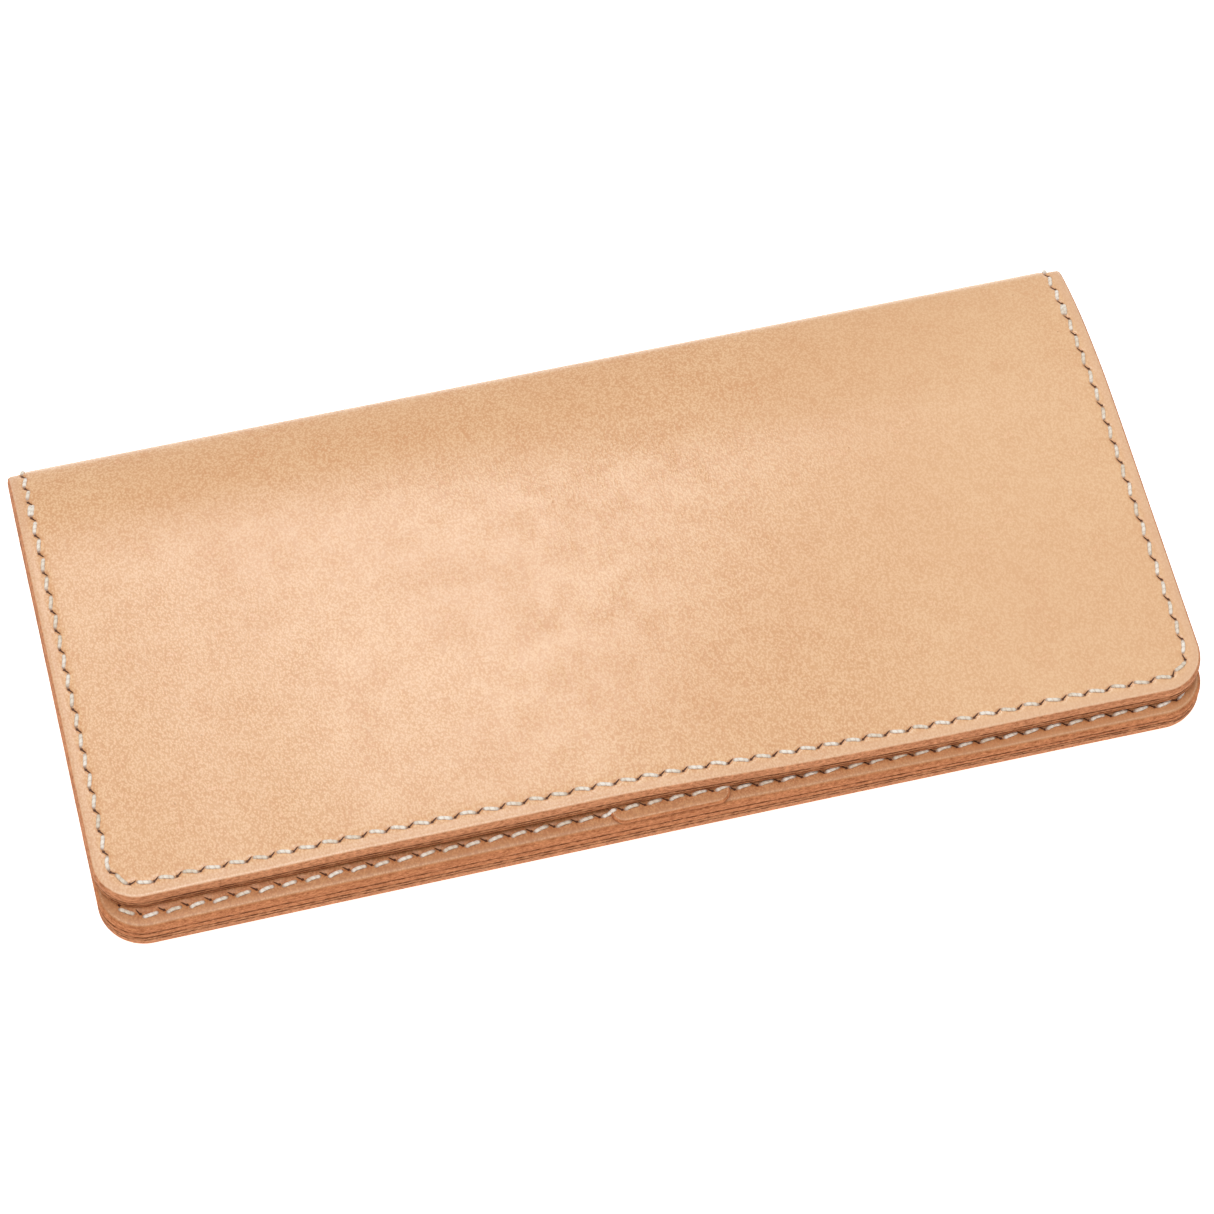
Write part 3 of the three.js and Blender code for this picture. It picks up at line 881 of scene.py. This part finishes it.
lining = panel("back_lining_leather", LINING_REAR, whole(COVER), lining_top, (0.05, 0.1), LINING_LEATHER,
               "back_lining", seed=4)
note = panel("note_panel_leather", NOTE_REAR, lining_top, note_top, (0.08, 0.1), POCKET_LEATHER,
             "note_panel", seed=5)
SPLITS = (STRIP_X - JOINT_HALF, STRIP_X + JOINT_HALF)
for side_name, side in (("left", -1), ("right", 1)):
    for label, row, low, high in (
        ("rear_slot", 0, note_top, rear_slot_top),
        ("middle_slot", 1, rear_slot_top, middle_slot_top),
    ):
        mouth = MOUTHS[row]

        def slot_keep(x, s, side=side, mouth=mouth):
            own = (x - STRIP_X) * side > 0.0
            ear = s > mouth - EAR_HEIGHT
            return own and s > SLOT_START and (ear or abs(x) < HALF - EAR_INSET)

        def slot_high(x, s, low=low):
            return low(x, s) + SLOT

        slot = panel(
            f"{label}_{side_name}_leather", mouth, low, slot_high, (0.05, 0.12), POCKET_LEATHER,
            f"{label}_{side_name}", slot_keep, splits=SPLITS,
            stops=(SLOT_START, mouth - EAR_HEIGHT), seed=20 + row,
        )

    def card_keep(x, s, side=side):
        return (x - STRIP_X) * side > 0.0

    card = panel(
        f"card_panel_{side_name}_leather", MOUTHS[2], middle_slot_top, card_top, (0.1, 0.9), POCKET_LEATHER,
        f"card_panel_{side_name}", card_keep, splits=SPLITS, seed=6,
    )


def strip_top(x, s):
    return under_strip(x, s) + strip_thickness(s)


def centre_edges(x, s):
    to_edge = np.minimum(strip_inset(x, s), MOUTHS[0] - s)
    return to_edge, np.full_like(x, 0.1), np.full_like(x, 0.4)


strip_rows = np.concatenate((
    between(STRIP_CORNER, MOUTHS[0] - MOUTH_TURN, 1.0)[:-1], MOUTHS[0] - MOUTH_ROWS,
))
strip_inner = STRIP_HALF - STRIP_CORNER
strip_pattern = Pattern(
    strip_rows, between(-strip_inner, strip_inner, 1.0), STRIP_CORNER,
    rim=[0.0, 0.04, 0.12, 0.24, 0.4, 0.6, 0.9, 1.3], coarse=[1.9], arc=6, centre=STRIP_X,
)
strip = leather("centre_strip_leather", strip_pattern, True, under_strip, strip_top, centre_edges,
                POCKET_LEATHER, seed=8)
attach(strip, "back_half")
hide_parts("centre_strip")

front_lining = panel(
    "front_lining_leather", LINING_REAR - SETBACK, whole(COVER), whole(COVER + FRONT_LINING), (0.05, 0.08),
    LINING_LEATHER, "front_lining", back=False, seed=9,
)
front_note = panel(
    "front_note_panel_leather", NOTE_REAR - SETBACK, whole(COVER + FRONT_LINING),
    whole(COVER + FRONT_LINING + FRONT_NOTE), (0.08, 0.35), POCKET_LEATHER, "front_note_panel",
    back=False, seed=10,
)


# ---- Stitches ----
SIDES = 8  # of the thread's section
THREAD_WIDE = 0.35
THREAD_HIGH = 0.28
SUNK = 0.44  # how deep the stitches lie in the groove that keeps them off the table
STITCH_TOP = 0.14  # height of a stitch's middle line above the leather at its crown
STITCH_DROP = 0.95  # how far it comes down to its slits
ARCH = [0.0, 0.04, 0.1, 0.18, 0.3, 0.42, 0.5, 0.58, 0.7, 0.82, 0.9, 0.96, 1.0]  # shares of a stitch


def arch_height(share):
    """Height of a stitch's middle line above the leather: out of one slit and into the next."""
    return STITCH_TOP - STITCH_DROP * np.abs(2.0 * share - 1.0) ** 3.2


def stitches(name, back, spans, material, seed):
    """All the stitches of one seam on the faces given by spans: (first hole, last hole, face)."""
    random = np.random.default_rng(seed)
    points, faces, plies = [], [], []
    pitch = PITCHES[back]
    hand = -1.0 if back else 1.0
    for first, last, outer in spans:
        for hole in range(first, last):
            twice = abs(hole + 0.5) > HOLES[back] - DOUBLED and abs(hole + 0.5) < HOLES[back] - DOUBLED + 1
            for layer in range(2 if twice else 1):
                share = np.array(ARCH)
                jitter = random.normal(0.0, 0.05, 3)
                shift = 0.24 * (layer * 2 - 1) if twice else 0.0
                along = (hole + share) * pitch + REACH * (1 - 2 * share) + jitter[0]
                off = hand * REACH * (1 - 2 * share) + shift + jitter[1] * np.sin(share * math.pi)
                off = off + 0.05 * np.sin(share * 2 * math.pi + jitter[2] * 20)
                height = arch_height(share) + 0.02 * random.normal()
                ring_points(points, faces, plies, along, off, height, back, outer, random.uniform(0, 6.28))
    obj = make_mesh(name, np.array(points), faces)
    store(obj, "ply", np.array(plies))
    obj.data.materials.append(material)
    return obj


def seam_surface(along, off, height, back, outer):
    x, s = on_seam(along, off, back)
    if outer and back:
        t = SUNK - height
    elif outer:
        t = 0.12 - height
    else:
        t = inner_face(x, s, back) - 0.1 + height
    return fold(x, s if back else TOTAL - s, t)


def ring_points(points, faces, plies, along, off, height, back, outer, phase):
    centre = seam_surface(along, off, height, back, outer)
    above = seam_surface(along, off, height + 0.2, back, outer)
    up = above - centre
    up /= np.linalg.norm(up, axis=1)[:, None]
    tangent = np.gradient(centre, axis=0)
    tangent /= np.linalg.norm(tangent, axis=1)[:, None]
    across = np.cross(tangent, up)
    across /= np.linalg.norm(across, axis=1)[:, None]
    up = np.cross(across, tangent)
    lengths = np.concatenate(([0.0], np.cumsum(np.linalg.norm(np.diff(centre, axis=0), axis=1))))
    start = len(points)
    angles = np.arange(SIDES) * 2 * math.pi / SIDES
    for row in range(len(centre)):
        taper = 0.8 if row in (0, len(centre) - 1) else 1.0
        for angle in angles:
            offset = across[row] * math.cos(angle) * THREAD_WIDE + up[row] * math.sin(angle) * THREAD_HIGH
            points.append(centre[row] + offset * taper)
            plies.append((lengths[row] + phase, angle, height[row] + 0.2))
    for row in range(len(centre) - 1):
        for k in range(SIDES):
            a, b = start + row * SIDES + k, start + row * SIDES + (k + 1) % SIDES
            faces.append((a, b, b + SIDES, a + SIDES))
    faces.append(tuple(start + k for k in range(SIDES))[::-1])
    faces.append(tuple(start + (len(centre) - 1) * SIDES + k for k in range(SIDES)))


def hole_at(s, back):
    """Number of the stitch that ends nearest to a row of the folded cover."""
    own = s if back else TOTAL - s
    to_middle = FOLD_MIDDLE if back else TOTAL - FOLD_MIDDLE
    return int(round((seam_length(back) - to_middle + own) / PITCHES[back]))


back_last = hole_at(CUTS[0], True)
front_last = hole_at(CUTS[1], False)
back_thread = stitches(
    "back_seam_stitches", True, [(-back_last, back_last, True), (-back_last, back_last, False)], THREAD, 31,
)
front_thread = stitches(
    "front_seam_stitches", False,
    [(-front_last, front_last, True), (-front_last, front_last, False)], THREAD, 32,
)
spine_spans = {
    True: [(-HOLES[True], -back_last), (back_last, HOLES[True])],
    False: [(-HOLES[False], -front_last), (front_last, HOLES[False])],
}
spine_threads = [
    stitches(
        f"fold_seam_stitches_{number}", back,
        [(first, last, outer) for first, last in spine_spans[back] for outer in (True, False)],
        THREAD, 33 + number,
    )
    for number, back in enumerate((True, False), start=1)
    if any(first < last for first, last in spine_spans[back])
]


def bend_first(obj):
    return bend(obj)


def bend_middle(obj):
    return bend(obj)


def bend_last(obj):
    return bend(obj)


def bend(obj):
    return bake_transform(obj)


bend_first(back_leather)
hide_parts("back_cover")
bend_middle(spine_leather)
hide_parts("fold_strip_1", "fold_strip_2")
bend_last(front_leather)
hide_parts("front_cover")
bend_first(back_thread)
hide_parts("back_seam_thread")
bend_last(front_thread)
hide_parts("front_seam_thread")
for thread in spine_threads:
    bend_middle(thread)


# ---- Floor, light and camera ----
def floor():
    g = Graph("floor_paper")
    place_on = g.node("ShaderNodeTexCoord").outputs["Object"]
    tooth = g.noise(place_on, 900.0, 2.0)
    tone = g.mix(g.ramp(tooth, 0.3, 0.7), srgb(250, 250, 250), srgb(254, 254, 254))
    material = g.finish(
        Base_Color=tone, Roughness=0.9, Emission_Color=(1.0, 1.0, 1.0, 1.0), Emission_Strength=0.7,
    )
    size, below = 3.0, -0.0001
    corners = [(-size, -size, below), (size, -size, below), (size, size, below), (-size, size, below)]
    mesh = bpy.data.meshes.new("floor")
    mesh.from_pydata(corners, [], [(0, 1, 2, 3)])
    obj = bpy.data.objects.new("floor", mesh)
    bpy.context.scene.collection.objects.link(obj)
    mesh.materials.append(material)


def softbox(name, location, target, size, power):
    light = bpy.data.lights.new(name, "AREA")
    light.shape = "RECTANGLE"
    light.size, light.size_y = size
    light.energy = power
    obj = bpy.data.objects.new(name, light)
    obj.location = location
    way = Vector(target) - Vector(location)
    obj.rotation_euler = way.to_track_quat("-Z", "Y").to_euler()
    bpy.context.scene.collection.objects.link(obj)


def world(strength):
    made = bpy.data.worlds.new("studio")
    made.use_nodes = True
    background = made.node_tree.nodes["Background"]
    background.inputs["Color"].default_value = (1.0, 1.0, 1.0, 1.0)
    background.inputs["Strength"].default_value = strength
    bpy.context.scene.world = made


def camera(azimuth, elevation, distance, aim, lens, roll):
    data = bpy.data.cameras.new("camera")
    data.lens = lens
    data.sensor_width = 36.0
    obj = bpy.data.objects.new("camera", data)
    a, e = math.radians(azimuth), math.radians(elevation)
    way = Vector((math.sin(a) * math.cos(e), -math.cos(a) * math.cos(e), math.sin(e)))
    obj.location = Vector(aim) + way * distance
    turn = (-way).to_track_quat("-Z", "Y").to_matrix().to_4x4()
    turn = turn @ Matrix.Rotation(math.radians(roll), 4, "Z")
    obj.rotation_euler = turn.to_euler()
    bpy.context.scene.collection.objects.link(obj)
    bpy.context.scene.camera = obj


floor()
MIDDLE = (0.0, 0.0, 0.0)
softbox("key", location=(-0.05, -0.12, 1.5), target=MIDDLE, size=(0.6, 0.6), power=7.3)
softbox("shine", location=(0.09, 0.67, 1.15), target=(-0.03, 0.0, 0.0), size=(0.28, 0.16), power=2.6)
softbox("fill", location=(-0.6, -0.4, 1.4), target=MIDDLE, size=(1.0, 1.0), power=7.3)
softbox("side", location=(1.0, -0.1, 0.8), target=MIDDLE, size=(0.8, 0.8), power=1.5)
world(strength=0.28)
camera(
    azimuth=-16.36, elevation=60.39, distance=0.7947, aim=(0.00073, -0.00085, 0.0), lens=133.4, roll=2.735,
)
bpy.context.scene.view_settings.view_transform = "Standard"

bpy.context.view_layer.update()
